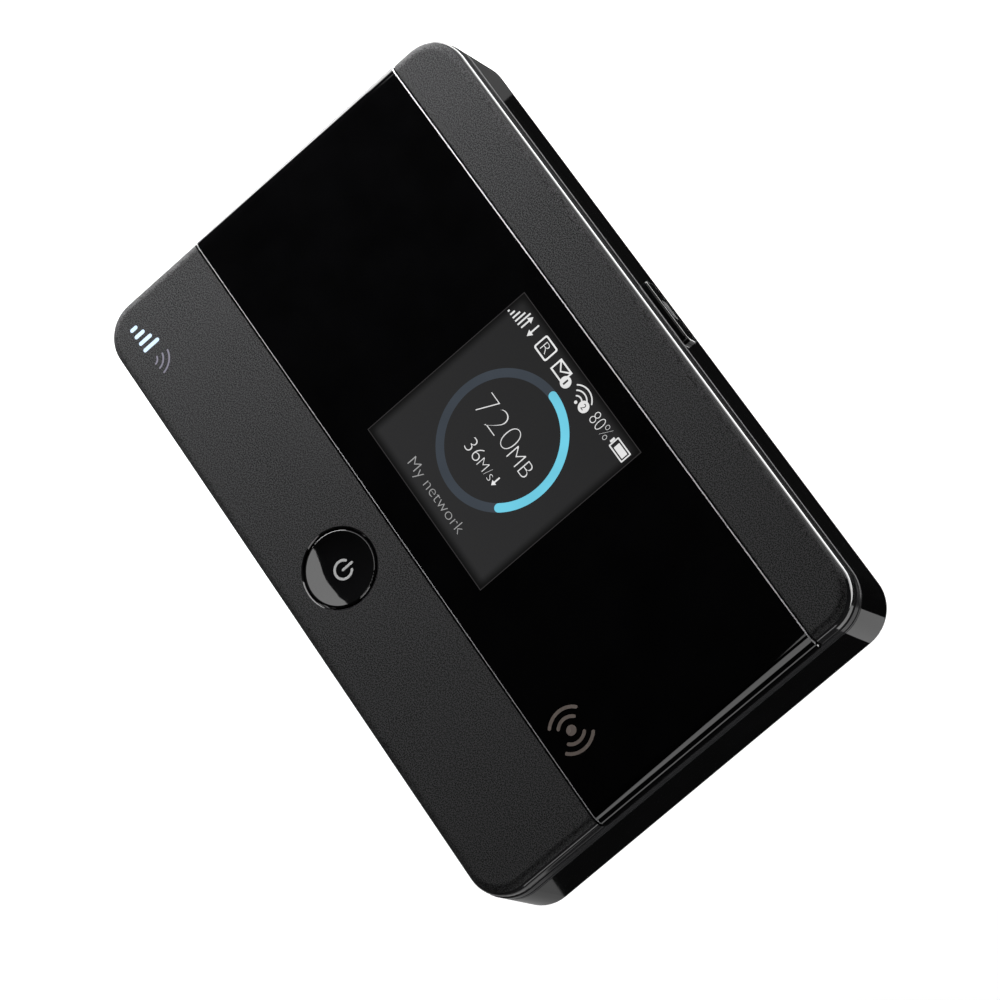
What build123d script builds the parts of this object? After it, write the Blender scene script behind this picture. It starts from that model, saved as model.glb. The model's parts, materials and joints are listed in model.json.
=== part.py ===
from build123d import *
import os

# A mobile hotspot lying on its back, in millimetres.
# The origin is the centre of the flat back. +X runs along the long side, +Y across the
# face towards the menu key, and +Z out of the front face.

# ---- Case --------------------------------------------------------------------------
LENGTH = 106.0
WIDTH = 66.4
HEIGHT = 16.0               # back to the matte front face
CORNER_R = 5.8              # plan corner
FRONT_EDGE_R = 1.5          # rolled edge of the front face
BACK_EDGE_R = 1.5           # rounded bottom edge of the side wall
WALL = 1.5                  # side wall
SHELL_STEP = 0.15           # the front shell stands in from the trim ring
SHELL_WALL = 2.05
FACE_T = 1.2                # front face plate
TRIM_WALL = 1.2
FIT = 0.1                   # gap between pieces that slot together
BEVEL = 0.15                # small edge break
SKIN = 0.15                 # sheet metal and flexible circuits

# ---- Heights above the back ----------------------------------------------------------
RIM_LOW = 0.15              # the side wall starts a little above the rear cover's face
COVER_T = 1.2
COVER_INSET = 2.0           # the rear cover's edge, in from the case's outline
COVER_GAP = 0.15
LEDGE_INSET = 3.3
LEDGE_LOW = COVER_T + 0.05  # ledge that the rear cover closes against
LEDGE_HIGH = 2.1
DECK_LOW = 7.1              # chassis deck, over the battery
DECK_HIGH = 7.9
BOARD_LOW = 9.0
BOARD_HIGH = 10.0
PARTING = 11.2              # lower housing to trim ring
TRIM_TOP = 13.3             # trim ring to front shell
LIP_LOW = 11.9              # front shell's lip inside the trim ring
SEAT = 15.1                 # shell surface under the lens
SEAT_UNDER = 14.2
LENS_LOW = 15.2
LENS_TOP = 16.15

# ---- Lens and display ------------------------------------------------------------------
LENS_Y = (-13.8, 24.2)      # the glossy band across the face
LENS_GAP = 0.3              # dark groove along each long edge of the lens
LENS_PROUD = 0.1            # the lens stands out past the trim ring at both ends
LENS_END_T = 1.1            # lens thickness where it wraps down the ends
LENS_ROLL_R = 2.0
LENS_END_LOW = TRIM_TOP + 0.05
WINDOW_X = 2.0
WINDOW_Y = 6.0
WINDOW = 29.3               # square display window
BEZEL_HALF = 17.0           # half width of the display's metal frame
BEZEL_Y = (-12.6, 22.8)
BEZEL_Z = (11.7, 14.0)
BEZEL_SHEET = 0.25
FLEX_HALF = 6.0
FLEX_T = 0.12

# ---- Buttons ---------------------------------------------------------------------------
POWER_X = 0.4
POWER_Y = -23.3
POWER_R = 5.5
POWER_GAP = 0.25
POWER_EDGE_R = 0.25
POWER_DISH = 0.42           # depth of the cap's dished top
POWER_DISH_FLAT_R = 1.2     # the flat in the middle of the dish
POWER_FLANGE = (13.7, 14.4)  # heights of the flange that keeps the cap in
POWER_FLANGE_R = 6.4
POWER_STEM_R = 1.6
POWER_STEM_LOW = 12.1       # where the cap's stem meets the switch plunger
POWER_TRAVEL = 0.35
MENU_X = 0.2
MENU_Z = 7.65
MENU_LENGTH = 11.0
MENU_HEIGHT = 3.6
MENU_PROUD = 0.6
MENU_EDGE_R = 0.22
MENU_TRAVEL = 0.3
MENU_GROOVE_OUT = 0.28      # the key's fine groove, out from the side wall
MENU_FLANGE_HALF = 6.6
MENU_SWITCH_Y = (26.6, 29.8)
MENU_BORE_END = 27.0        # how far the switch's bore reaches in
MENU_FLANGE_HIGH = WIDTH / 2 - WALL - FIT   # the flange rests inside the side wall
MENU_FLANGE_LOW = MENU_FLANGE_HIGH - 0.8    # and its inner face meets the switch plunger
RESET_X = -41.0
RESET_Y = -18.0
RESET_TRAVEL = 0.25
RESET_BORE_END = 8.8
PLUNGER_GAP = 0.05          # left under every plunger at the end of its travel

# ---- Battery, cards and connectors --------------------------------------------------------
BATTERY_X = (-29.7, 28.3)
BATTERY_HALF_Y = 23.0
BATTERY_Z = (1.45, 7.05)
BAY_GAP = 0.25
BAY_WALL = 0.6
CARD_X = 37.2               # middle of both card sockets
SOCKET_HALF = 6.9
SOCKET_Y = (15.0, 29.0)     # the SIM socket; the memory card socket mirrors it
SIM_SIZE = (12.0, 15.0, 0.76)
SIM_Z = 7.82
MEMORY_SIZE = (11.0, 15.0, 1.0)
MEMORY_Z = 7.6
USB_HALF_Y = 3.75
USB_Z = (6.4, 8.95)
CONTACT_HALF_Y = 6.0
CONTACT_X = (-34.5, -30.0)

# ---- Antennas ---------------------------------------------------------------------------
CARRIER_X = (46.4, 50.3)
CARRIER_HALF_Y = 20.0
CARRIER_TOP = 13.0
CARRIER_WALL = 1.0

# ---- Fixings ----------------------------------------------------------------------------
SCREWS = [(-47, -27), (-47, 27), (47, -27), (47, 27), (-24, 28), (24, -28)]
SCREW_R = 0.7
SCREW_HEAD_R = 1.5
SCREW_HEAD = (4.5, 5.4)
SCREW_TIP = 12.6
BOSS_R = 2.0
PILLAR_R = 2.4
STANDOFF_R = 1.9
# Snap tongues of the rear cover: place on the cover's edge, and the way each one faces.
TONGUES = [(x, side * (WIDTH / 2 - COVER_INSET), side * 90) for x in (-30, 30) for side in (-1, 1)]
TONGUES += [(side * (LENGTH / 2 - COVER_INSET), y, 90 - side * 90) for y in (-16, 16) for side in (-1, 1)]


# ---- Shapes used more than once -----------------------------------------------------------
def slab(inset, low, high):
    """The case's plan outline, drawn in by inset, from one height to another."""
    radius = max(CORNER_R - inset, 0.5)
    outline = RectangleRounded(LENGTH - 2 * inset, WIDTH - 2 * inset, radius)
    return extrude(Plane.XY.offset(low) * outline, high - low)


def block(x, y, z):
    """A box given by its lowest and highest value along each axis."""
    centre = [(low + high) / 2 for low, high in (x, y, z)]
    size = [high - low for low, high in (x, y, z)]
    return Pos(*centre) * Box(*size)


def centred(x, y, half_x, half_y, z):
    """A box given by its middle, its half sizes and its heights."""
    return block((x - half_x, x + half_x), (y - half_y, y + half_y), z)


def rod(x, y, radius, z):
    """An upright cylinder."""
    return Pos(x, y, (z[0] + z[1]) / 2) * Cylinder(radius, z[1] - z[0])


def along_x(profile, low, high):
    """Extrudes a profile drawn in Y and Z from one X to another."""
    return extrude(Plane.YZ.offset(low) * profile, high - low)


def along_y(profile, low, high):
    """Extrudes a profile drawn in X and Z from one Y to another."""
    return extrude(Plane.XZ.offset(-high) * profile, high - low)


def rounded(solid, axis, radius):
    """Rounds the edges that run along an axis."""
    return fillet(solid.edges().filter_by(axis), radius)


def at_screws(make):
    """One copy of a feature at every screw."""
    return [make(x, y) for x, y in SCREWS]


def at_tongues(feature):
    """One copy of a feature, drawn facing +X at the origin, at every snap tongue."""
    return [Pos(x, y, 0) * Rot(0, 0, turn) * feature for x, y, turn in TONGUES]


def group(solids):
    """Separate solids kept together in one node."""
    return Compound(children=[part.solid() for part in solids])


# ---- Enclosure ---------------------------------------------------------------------------
def lens_body(inset, low, roll):
    """The lens's outer form, or its seat, as a block with both top ends rolled over."""
    half = LENGTH / 2 + LENS_PROUD - inset
    body = block((-half, half), LENS_Y, (LENS_END_LOW, low))
    return fillet(body.edges().filter_by(Axis.Y).group_by(Axis.Z)[-1], roll)


def display_lens():
    body = lens_body(0, LENS_TOP, LENS_ROLL_R)
    sides = body.faces().filter_by(Axis.Y).edges()
    body = chamfer([e for e in sides if e.center().Z > LENS_END_LOW + FIT], BEVEL)
    inner_roll = LENS_ROLL_R - (LENS_TOP - LENS_LOW)
    hollow = lens_body(LENS_END_T, LENS_LOW, inner_roll)
    return body - hollow


def front_shell():
    shell = slab(SHELL_STEP, TRIM_TOP, HEIGHT)
    shell = fillet(shell.edges().group_by(Axis.Z)[-1], FRONT_EDGE_R)
    shell += slab(TRIM_WALL + FIT, LIP_LOW, TRIM_TOP)
    shell -= slab(SHELL_STEP + SHELL_WALL, LIP_LOW, HEIGHT - FACE_T)
    # The channel for the lens runs over both ends, and a seat fills it from below.
    channel_y = (LENS_Y[0] - LENS_GAP, LENS_Y[1] + LENS_GAP)
    shell -= block((-LENGTH, LENGTH), channel_y, (TRIM_TOP, HEIGHT + 1))
    seat_half = LENGTH / 2 + LENS_PROUD - LENS_END_T - FIT
    seat = block((-seat_half, seat_half), channel_y, (TRIM_TOP, SEAT))
    seat = fillet(seat.edges().filter_by(Axis.Y).group_by(Axis.Z)[-1], 1.0)
    inner_half = LENGTH / 2 - SHELL_STEP - SHELL_WALL
    seat -= block((-inner_half, inner_half), channel_y, (LIP_LOW, SEAT_UNDER))
    shell += seat
    opening = WINDOW / 2 + 0.4
    shell -= centred(WINDOW_X, WINDOW_Y, opening, opening, (SEAT_UNDER - 1, HEIGHT))
    shell += at_screws(lambda x, y: rod(x, y, BOSS_R, (BOARD_HIGH, HEIGHT - FACE_T)))
    shell -= at_screws(lambda x, y: rod(x, y, SCREW_R + 0.02, (BOARD_HIGH, SCREW_TIP + 0.3)))
    # The power button's hole, with a fine bevel at its mouth.
    shell -= rod(POWER_X, POWER_Y, POWER_R + POWER_GAP, (HEIGHT - 2, HEIGHT + 1))
    mouth = Cone(POWER_R + POWER_GAP, POWER_R + POWER_GAP + BEVEL, BEVEL)
    shell -= Pos(POWER_X, POWER_Y, HEIGHT - BEVEL / 2) * mouth
    return shell


def lens_adhesive():
    half = LENGTH / 2 - 3.2
    tape = block((-half, half), (LENS_Y[0] + 0.5, LENS_Y[1] - 0.5), (SEAT, LENS_LOW))
    hole = WINDOW / 2 + 0.5
    return tape - centred(WINDOW_X, WINDOW_Y, hole, hole, (SEAT, LENS_LOW))


def trim_ring():
    ring = slab(0, PARTING, TRIM_TOP)
    ring = chamfer(ring.edges().group_by(Axis.Z)[-1], BEVEL)
    return ring - slab(TRIM_WALL, PARTING, TRIM_TOP)


def menu_opening(gap, y):
    """The menu key's plan in the side wall, with rounded corners, widened by a gap."""
    profile = RectangleRounded(MENU_LENGTH + 2 * gap, MENU_HEIGHT + 2 * gap, 1.0 + gap)
    return along_y(Pos(MENU_X, MENU_Z) * profile, *y)


def usb_opening():
    """The hole that a charging plug goes through, with room for its moulded grip."""
    middle = sum(USB_Z) / 2
    hole = RectangleRounded(2 * USB_HALF_Y + 0.9, USB_Z[1] - USB_Z[0] + 0.7, 1.2)
    return along_x(Pos(0, middle) * hole, -LENGTH / 2 - 1, -LENGTH / 2 + WALL + 0.5)


def lower_housing():
    wall = slab(0, RIM_LOW, PARTING)
    wall = fillet(wall.edges().group_by(Axis.Z)[0], BACK_EDGE_R)
    wall = chamfer(wall.edges().group_by(Axis.Z)[-1], BEVEL)
    wall -= slab(WALL, LEDGE_HIGH, PARTING)
    wall -= slab(LEDGE_INSET, LEDGE_LOW, LEDGE_HIGH)
    wall -= slab(COVER_INSET - COVER_GAP, 0, LEDGE_LOW)
    # The ledge is broken where the rear cover's tongues pass it.
    wall -= at_tongues(block((-1.4, 0.45), (-3.5, 3.5), (LEDGE_LOW, LEDGE_HIGH)))
    wall -= menu_opening(FIT, (WIDTH / 2 - WALL - 1, WIDTH / 2 + 1))
    wall -= usb_opening()
    return wall


def rear_cover():
    plate = slab(COVER_INSET, 0, COVER_T)
    plate = chamfer(plate.edges().group_by(Axis.Z)[0], BEVEL)
    tongue = block((-0.9, 0), (-3, 3), (COVER_T, 4.0))
    bump = Pos(-0.15, 0, 3.2) * Rot(90, 0, 0) * Cylinder(0.25, 5)
    plate += at_tongues(tongue + bump)
    # Stiffening ribs beside the battery, and a scoop for a thumbnail at the edge.
    for x in (-48.0, -37.0, 33.0, 46.0):
        plate += centred(x, 0, 0.4, 11, (COVER_T, 2.2))
    return plate - rod(0, -WIDTH / 2 - 2.0, 6, (0, 0.6))


def screw_seat(x, y):
    """A pillar under the deck and a standoff on top of it, round one screw."""
    pillar = rod(x, y, PILLAR_R, (SCREW_HEAD[0] - FIT, DECK_HIGH))
    return pillar + rod(x, y, STANDOFF_R, (DECK_LOW, BOARD_LOW))


def chassis():
    deck = slab(WALL + FIT, DECK_LOW, DECK_HIGH)
    rim = slab(WALL + FIT, 4.3, DECK_HIGH) - slab(WALL + FIT + 0.9, 4.3, DECK_HIGH)
    bay_x = (BATTERY_X[0] - BAY_GAP, BATTERY_X[1] + BAY_GAP)
    bay_half = BATTERY_HALF_Y + BAY_GAP
    outer_x = (bay_x[0] - BAY_WALL, bay_x[1] + BAY_WALL)
    outer_half = bay_half + BAY_WALL
    bay = block(outer_x, (-outer_half, outer_half), (BATTERY_Z[0], DECK_LOW))
    bay -= block(bay_x, (-bay_half, bay_half), (0, DECK_LOW))
    body = deck + rim + bay + at_screws(screw_seat)
    body -= at_screws(lambda x, y: rod(x, y, SCREW_HEAD_R + FIT, (0, SCREW_HEAD[1])))
    body -= at_screws(lambda x, y: rod(x, y, SCREW_R + FIT, (0, HEIGHT)))
    # A finger cut in the bay's wall, the card well and the openings for parts under the board.
    body -= block((10, 24), (-outer_half, -bay_half), (0, 4.5))
    body -= centred(CARD_X, 0, SOCKET_HALF + FIT, SOCKET_Y[1] + 0.2, (0, HEIGHT))
    contact_x = (CONTACT_X[0] - FIT, CONTACT_X[1] + 0.05)
    body -= block(contact_x, (-CONTACT_HALF_Y - FIT, CONTACT_HALF_Y + FIT), (0, HEIGHT))
    body -= block((-LENGTH / 2, -46.9), (-USB_HALF_Y - 0.4, USB_HALF_Y + 0.4), (USB_Z[0] - 0.4, HEIGHT))
    body -= centred(MENU_X, 30, 7.2, 4, (MENU_Z - 2.8, HEIGHT))
    return body - rod(RESET_X, RESET_Y, 1.0, (0, HEIGHT))


def housing_screws():
    def screw(x, y):
        body = rod(x, y, SCREW_HEAD_R, SCREW_HEAD) + rod(x, y, SCREW_R, (SCREW_HEAD[1], SCREW_TIP))
        for turn in (0, 90):
            body -= Pos(x, y, SCREW_HEAD[0]) * Rot(0, 0, turn) * Box(1.8, 0.35, 0.8)
        return body
    return group(at_screws(screw))


# ---- Power button ----------------------------------------------------------------------------
def power_dish(top):
    """The space over the dished top: flat in the middle, then curving up to the cap's edge."""
    reach = POWER_R - POWER_EDGE_R - 0.05
    low = top - POWER_DISH
    outline = Line((0, low), (POWER_DISH_FLAT_R, low))
    outline += TangentArc((POWER_DISH_FLAT_R, low), (reach, top), tangent=(1, 0))
    outline += Polyline((reach, top), (reach, top + 1), (0, top + 1), (0, low))
    return revolve(Plane.XZ * make_face(outline), Axis.Z)


def power_button_cap():
    """A stem and a retaining flange under a round cap with a rounded edge and a dished top."""
    top = HEIGHT - 0.05
    cap = rod(0, 0, POWER_R, (POWER_FLANGE[0], top))
    cap = fillet(cap.edges().group_by(Axis.Z)[-1], POWER_EDGE_R)
    cap += rod(0, 0, POWER_FLANGE_R, POWER_FLANGE)
    cap += rod(0, 0, POWER_STEM_R, (POWER_STEM_LOW, POWER_FLANGE[0]))
    return Pos(POWER_X, POWER_Y, 0) * (cap - power_dish(top))


def power_switch_base():
    base = centred(POWER_X, POWER_Y, 2.6, 2.6, (BOARD_HIGH, 11.5))
    base = chamfer(base.edges().filter_by(Axis.Z), 0.4)
    return base - rod(POWER_X, POWER_Y, 1.25, (BOARD_HIGH + 0.1, 11.5))


def power_switch_plunger():
    low = BOARD_HIGH + 0.1 + POWER_TRAVEL + PLUNGER_GAP
    return rod(POWER_X, POWER_Y, 1.2, (low, POWER_STEM_LOW))


# ---- Menu key -----------------------------------------------------------------------------
def menu_key():
    """A bar through the side wall, with an inner flange and a fine groove along its top."""
    key = menu_opening(0, (MENU_FLANGE_LOW, WIDTH / 2 + MENU_PROUD))
    key = fillet(key.faces().sort_by(Axis.Y)[-1].edges(), MENU_EDGE_R)
    groove_y = WIDTH / 2 + MENU_GROOVE_OUT
    groove_z = MENU_Z + MENU_HEIGHT / 2
    key -= centred(MENU_X, groove_y, 4.4, 0.07, (groove_z - 0.15, groove_z + 1))
    flange_x = (MENU_X - MENU_FLANGE_HALF, MENU_X + MENU_FLANGE_HALF)
    return key + block(flange_x, (MENU_FLANGE_LOW, MENU_FLANGE_HIGH), (MENU_Z - 2.5, MENU_Z + 2.5))


def menu_switch_base():
    base = block((MENU_X - 2.4, MENU_X + 2.4), MENU_SWITCH_Y, (6.4, BOARD_LOW))
    bore_y = (MENU_BORE_END, MENU_SWITCH_Y[1])
    return base - block((MENU_X - 0.85, MENU_X + 0.85), bore_y, (MENU_Z - 0.65, MENU_Z + 0.65))


def menu_switch_plunger():
    y = (MENU_BORE_END + MENU_TRAVEL + PLUNGER_GAP, MENU_FLANGE_LOW)
    return block((MENU_X - 0.8, MENU_X + 0.8), y, (MENU_Z - 0.6, MENU_Z + 0.6))


# ---- Reset switch ---------------------------------------------------------------------------
def reset_switch_base():
    base = centred(RESET_X, RESET_Y, 1.75, 1.75, (DECK_HIGH + 0.05, BOARD_LOW))
    return base - rod(RESET_X, RESET_Y, 0.75, (DECK_HIGH, RESET_BORE_END))


def reset_switch_plunger():
    return rod(RESET_X, RESET_Y, 0.7, (7.3, RESET_BORE_END - RESET_TRAVEL - PLUNGER_GAP))


# ---- Display ----------------------------------------------------------------------------------
def display_gasket():
    outer, inner = WINDOW / 2 + 1.7, WINDOW / 2 + 0.45
    z = (BEZEL_Z[1], SEAT_UNDER)
    return centred(WINDOW_X, WINDOW_Y, outer, outer, z) - centred(WINDOW_X, WINDOW_Y, inner, inner, z)


def display_bezel():
    x = (WINDOW_X - BEZEL_HALF, WINDOW_X + BEZEL_HALF)
    frame = rounded(block(x, BEZEL_Y, BEZEL_Z), Axis.Z, 0.6)
    inside_x = (x[0] + BEZEL_SHEET, x[1] - BEZEL_SHEET)
    inside_y = (BEZEL_Y[0] + BEZEL_SHEET, BEZEL_Y[1] - BEZEL_SHEET)
    frame -= rounded(block(inside_x, inside_y, (BEZEL_Z[0], BEZEL_Z[1] - BEZEL_SHEET)), Axis.Z, 0.35)
    view = WINDOW / 2 + 0.3
    frame -= centred(WINDOW_X, WINDOW_Y, view, view, BEZEL_Z)
    return frame - centred(WINDOW_X, BEZEL_Y[0], FLEX_HALF + 0.3, 0.4, (BEZEL_Z[0], 13.2))


def display_glass():
    return block((WINDOW_X - 16.5, WINDOW_X + 16.5), (-12.1, 22.3), (13.04, 13.7))


def display_backlight():
    return block((WINDOW_X - 16.3, WINDOW_X + 16.3), (-9.5, 22.1), (11.75, 13.0))


def display_flex():
    """A flexible tail from the glass that turns back on itself to its connector."""
    upper, lower = 12.97, 10.99
    bend_y = -15.0
    middle = (upper + lower) / 2
    radius = (upper - lower) / 2
    ring = Circle(radius + FLEX_T / 2) - Circle(radius - FLEX_T / 2)
    half_ring = Pos(bend_y, middle) * (ring & Pos(-5, 0) * Rectangle(10, 10))
    long_run = Pos((bend_y - 10) / 2, upper) * Rectangle(-10 - bend_y, FLEX_T)
    short_run = Pos((bend_y - 12) / 2, lower) * Rectangle(-12 - bend_y, FLEX_T)
    return along_x(half_ring + long_run + short_run, WINDOW_X - FLEX_HALF, WINDOW_X + FLEX_HALF)


def display_connector():
    return block((WINDOW_X - 6.6, WINDOW_X + 6.6), (-14.4, -12.0), (BOARD_HIGH, 10.92))


# ---- Main board ---------------------------------------------------------------------------------
def main_board():
    board = slab(3.0, BOARD_LOW, BOARD_HIGH)
    return board - at_screws(lambda x, y: rod(x, y, 1.2, (BOARD_LOW, BOARD_HIGH)))


def shield_can(x, y):
    """A pressed metal lid, open to the board, with a row of vent holes."""
    top = BOARD_HIGH + 1.5
    can = rounded(block(x, y, (BOARD_HIGH, top)), Axis.Z, 0.8)
    inner_x = (x[0] + SKIN, x[1] - SKIN)
    inner_y = (y[0] + SKIN, y[1] - SKIN)
    can -= rounded(block(inner_x, inner_y, (BOARD_HIGH, top - SKIN)), Axis.Z, 0.65)
    middle = (x[0] + x[1]) / 2
    for step in (-2, -1, 0, 1, 2):
        can -= rod(middle + 3 * step, y[1] - 3, 0.6, (top - 1, top + 1))
    return can


def baseband_shield():
    return shield_can((-44, -20), (-8, 22))


def rf_shield():
    return shield_can((22, 45), (-6, 22))


def power_shield():
    return shield_can((22, 44), (-24, -10))


def wifi_shield():
    return shield_can((-44, -24), (-26, -11))


def chip(x, y, half_x, half_y, height):
    """A moulded chip package with its pin-one dimple."""
    top = BOARD_HIGH + height
    package = centred(x, y, half_x, half_y, (BOARD_HIGH, top))
    return package - rod(x - half_x + 1, y + half_y - 1, 0.35, (top - 0.1, top))


def baseband_chip():
    return chip(-35, 10, 6, 6, 1.0)


def memory_chip():
    return chip(-33, -2, 5, 4, 0.9)


def rf_transceiver_chip():
    return chip(30, 14, 3.5, 3.5, 0.8)


def rf_amplifiers():
    return group([chip(39, y, 2.2, 1.6, 0.7) for y in (-2, 4, 10)])


def power_management_chip():
    return chip(33, -17, 3.5, 3.5, 0.8)


def wifi_chip():
    return chip(-34, -18.5, 2.5, 2.5, 0.8)


def thermal_pad():
    """A soft pad that fills the space between the baseband chip and its shield."""
    return centred(-35, 10, 5, 5, (BOARD_HIGH + 1.0, BOARD_HIGH + 1.5 - SKIN))


def crystals():
    return group([centred(x, y, 1.6, 1.25, (BOARD_HIGH, 10.7)) for x, y in ((-25, 16), (30, 6))])


def inductors():
    return group([centred(x, -8.0, 1.25, 1.0, (BOARD_HIGH, 11.0)) for x in (-12, -8, 8, 12)])


def capacitors():
    places = [(x, y) for x in (-12, -6, 0, 6, 12) for y in (-3, 3, 9, 15)]
    return group([centred(x, y, 0.5, 0.25, (BOARD_HIGH, 10.5)) for x, y in places])


# ---- Connectors ---------------------------------------------------------------------------------
def usb_receptacle():
    """A micro-USB shell under the board, open at the case's left end, with its tongue inside."""
    front, back = -52.6, -47.2
    low, high = USB_Z
    middle = (low + high) / 2
    outer = Polyline((-USB_HALF_Y, high), (USB_HALF_Y, high), (USB_HALF_Y, middle),
                     (USB_HALF_Y - 1, low), (-USB_HALF_Y + 1, low), (-USB_HALF_Y, middle), close=True)
    profile = make_face(outer)
    shell = along_x(profile, front, back)
    shell -= along_x(offset(profile, -0.25, kind=Kind.INTERSECTION), front, back - 0.4)
    tongue = block((front + 0.6, back - 0.4), (-2.4, 2.4), (middle + 0.1, middle + 0.7))
    return shell + tongue


def battery_contact_block():
    body = block(CONTACT_X, (-CONTACT_HALF_Y, CONTACT_HALF_Y), (2.6, BOARD_LOW))
    for y in (-4.2, -1.4, 1.4, 4.2):
        body -= centred(CONTACT_X[1], y, 2.5, 0.6, (3.4, 6.6))
    return body


def battery_contact_springs():
    """Bent blades in the block's slots, whose noses meet the battery's terminals."""
    nose = Polyline((-32.4, 3.5), (-32.2, 3.5), (-29.76, 4.9), (-29.76, 5.1), (-32.2, 6.5), (-32.4, 6.5),
                    (-32.4, 6.3), (-30.05, 5.0), (-32.4, 3.7), close=True)
    return group([along_y(make_face(nose), y - 0.45, y + 0.45) for y in (-4.2, -1.4, 1.4, 4.2)])


def card_socket(low, card, card_z, y):
    """A flat socket under the board with a slot for a card, open towards the middle of the well."""
    body = block((CARD_X - SOCKET_HALF, CARD_X + SOCKET_HALF), y, (low, BOARD_LOW))
    width, _, thickness = card
    slot_y = (y[0] - 1, y[1] - 0.6) if y[0] > 0 else (y[0] + 0.6, y[1] + 1)
    gap = 0.06
    body -= block((CARD_X - width / 2 - FIT, CARD_X + width / 2 + FIT), slot_y,
                  (card_z - gap, card_z + thickness + gap))
    # An opening in the metal shell shows the card.
    middle = (slot_y[0] + slot_y[1]) / 2
    return body - centred(CARD_X, middle, 3.5, 3.5, (low, card_z))


def sim_socket():
    return card_socket(7.4, SIM_SIZE, SIM_Z, SOCKET_Y)


def memory_card_socket():
    return card_socket(7.2, MEMORY_SIZE, MEMORY_Z, (-SOCKET_Y[1], -SOCKET_Y[0]))


def sim_card():
    """The card, with one cut corner and a recess for its contacts."""
    width, depth, thickness = SIM_SIZE
    y = (28.2 - depth, 28.2)
    card = block((CARD_X - width / 2, CARD_X + width / 2), y, (SIM_Z, SIM_Z + thickness))
    card = rounded(card, Axis.Z, 0.8)
    corner = Pos(CARD_X + width / 2, y[1], SIM_Z) * Rot(0, 0, 45) * Box(3.4, 3.4, 4)
    return card - corner - centred(CARD_X, 21.5, 3.9, 3.4, (SIM_Z + thickness - 0.1, HEIGHT))


def sim_card_contacts():
    """Six gilt pads on the side of the card that faces the board."""
    top = SIM_Z + SIM_SIZE[2]
    places = [(CARD_X + x, 21.5 + y) for x in (-2.3, 2.3) for y in (-2.2, 0, 2.2)]
    return group([centred(x, y, 1.5, 0.9, (top - 0.1, top)) for x, y in places])


def memory_card():
    width, depth, thickness = MEMORY_SIZE
    y = (-28.2, -28.2 + depth)
    card = block((CARD_X - width / 2, CARD_X + width / 2), y, (MEMORY_Z, MEMORY_Z + thickness))
    card = rounded(card, Axis.Z, 0.6)
    # A notch in one side, a thumb ridge at the outer end and a recess for the contacts.
    card -= block((CARD_X + width / 2 - 0.7, CARD_X + width / 2), (-22, -20), (MEMORY_Z, HEIGHT))
    card -= block((CARD_X - 3.5, CARD_X + 3.5), (y[1] - 1.2, y[1] - 0.9), (0, MEMORY_Z + 0.2))
    return card - centred(CARD_X, -26.2, 4.5, 1.4, (MEMORY_Z + thickness - 0.1, HEIGHT))


def memory_card_contacts():
    top = MEMORY_Z + MEMORY_SIZE[2]
    places = [CARD_X + 1.1 * step for step in (-3.5, -2.5, -1.5, -0.5, 0.5, 1.5, 2.5, 3.5)]
    return group([centred(x, -26.2, 0.4, 1.3, (top - 0.1, top)) for x in places])


# ---- Antennas ------------------------------------------------------------------------------------
def antenna_carriers():
    """A plastic rib at each end of the board, which holds the antennas clear of the metal."""
    def carrier(side):
        middle = side * sum(CARRIER_X) / 2
        half = (CARRIER_X[1] - CARRIER_X[0]) / 2
        rib = centred(middle, 0, half, CARRIER_HALF_Y, (BOARD_HIGH, CARRIER_TOP))
        inner = (half - CARRIER_WALL, CARRIER_HALF_Y - 2 * CARRIER_WALL)
        return rib - centred(middle, 0, *inner, (BOARD_HIGH, CARRIER_TOP - CARRIER_WALL))
    return group([carrier(-1), carrier(1)])


def antenna(side, y, slots):
    """A strip of sheet on the carrier's top, slotted into a meander, with a foot down its inner side."""
    x = sorted((side * (CARRIER_X[0] - SKIN), side * CARRIER_X[1]))
    strip = block(x, y, (CARRIER_TOP, CARRIER_TOP + SKIN))
    pitch = (y[1] - y[0]) / (slots + 1)
    for index in range(slots):
        open_end = CARRIER_X[1] if index % 2 else CARRIER_X[0]
        closed_end = CARRIER_X[0] + 1.0 if index % 2 else CARRIER_X[1] - 1.0
        cut = sorted((side * (open_end + (1 if index % 2 else -1)), side * closed_end))
        middle = y[0] + pitch * (index + 1)
        strip -= block(cut, (middle - 0.3, middle + 0.3), (CARRIER_TOP, HEIGHT))
    foot_x = sorted((side * (CARRIER_X[0] - SKIN), side * CARRIER_X[0]))
    return strip + block(foot_x, (y[0], y[0] + 2), (BOARD_HIGH + 0.3, CARRIER_TOP + SKIN))


def lte_main_antenna():
    return antenna(1, (-19, 19), 9)


def lte_diversity_antenna():
    return antenna(-1, (1, 19), 5)


def wifi_antenna():
    return antenna(-1, (-19, -3), 3)


def antenna_contacts():
    """Sprung clips on the board, one against each antenna's foot."""
    def clip(side, y):
        reach = CARRIER_X[0] - SKIN
        base, back, top = BOARD_HIGH, reach - 1.1, 11.6
        path = Polyline((reach, base), (back, base), (back, top), (reach, top), (reach, top - 0.9),
                        (reach - SKIN, top - 0.9), (reach - SKIN, top - SKIN), (back + SKIN, top - SKIN),
                        (back + SKIN, base + SKIN), (reach, base + SKIN), close=True)
        body = along_y(make_face(path), y, y + 1.6)
        return body if side > 0 else mirror(body, about=Plane.YZ)
    return group([clip(1, -18.8), clip(-1, 1.2), clip(-1, -18.8)])


# ---- Battery --------------------------------------------------------------------------------------
def battery_pack():
    half = BATTERY_HALF_Y
    pack = block(BATTERY_X, (-half, half), BATTERY_Z)
    pack = fillet(pack.edges(), 0.8)
    for y in (-4.2, -1.4, 1.4, 4.2):
        pack -= block((BATTERY_X[0], BATTERY_X[0] + 0.2), (y - 1.0, y + 1.0), (3.9, 6.1))
    return pack


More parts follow.
